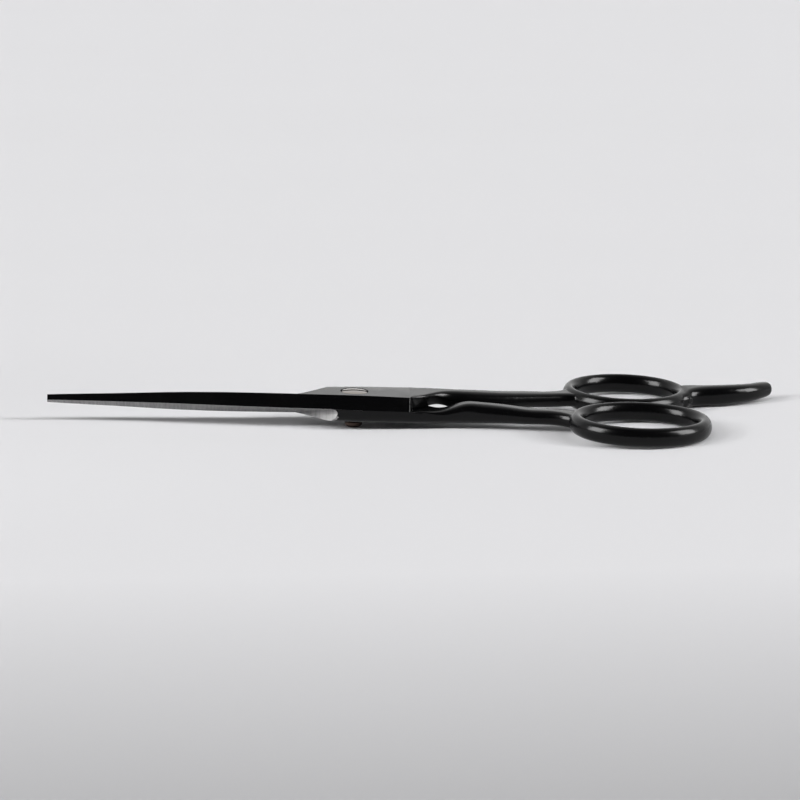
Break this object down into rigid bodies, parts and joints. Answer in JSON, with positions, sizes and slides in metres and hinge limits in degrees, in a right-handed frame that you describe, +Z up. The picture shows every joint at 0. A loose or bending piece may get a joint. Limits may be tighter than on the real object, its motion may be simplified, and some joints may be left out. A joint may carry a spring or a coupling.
{
  "type": "hair cutting shears",
  "caption": "Black coated hair cutting shears with slim blades, a slotted pivot screw, two finger rings and a curved finger rest.",
  "frame": {"origin": "on the pivot axis, at the surface the closed shears rest on", "axes": "+X from the pivot towards the handles, +Y towards the finger ring, +Z up"},
  "size_m": [0.1698, 0.0554, 0.0091],
  "materials": {
    "black_coating": "glossy black coating over forged steel",
    "screw_steel": "polished stainless steel",
    "spring_steel": "tempered spring steel",
    "nylon": "natural nylon",
    "bumper_rubber": "soft black rubber"
  },
  "bodies": {
    "lower_blade": {"lower_half": "black_coating"},
    "upper_blade": {"upper_half": "black_coating", "pivot_bushing": "nylon", "rubber_bumper": "bumper_rubber"},
    "screw": {"pivot_screw": "screw_steel", "spring_washer": "spring_steel"}
  },
  "joints": [
    {"name": "blade_pivot", "type": "hinge", "parent": "lower_blade", "child": "upper_blade", "pos_m": [0, 0, 0.00509], "axis": [0.0366, 0, 0.9993], "range_deg": [0, 110]},
    {"name": "tension_turn", "type": "hinge", "parent": "lower_blade", "child": "screw", "pos_m": [0, 0, 0.00509], "axis": [0.0366, 0, 0.9993], "range_deg": [-90, 90]}
  ]
}
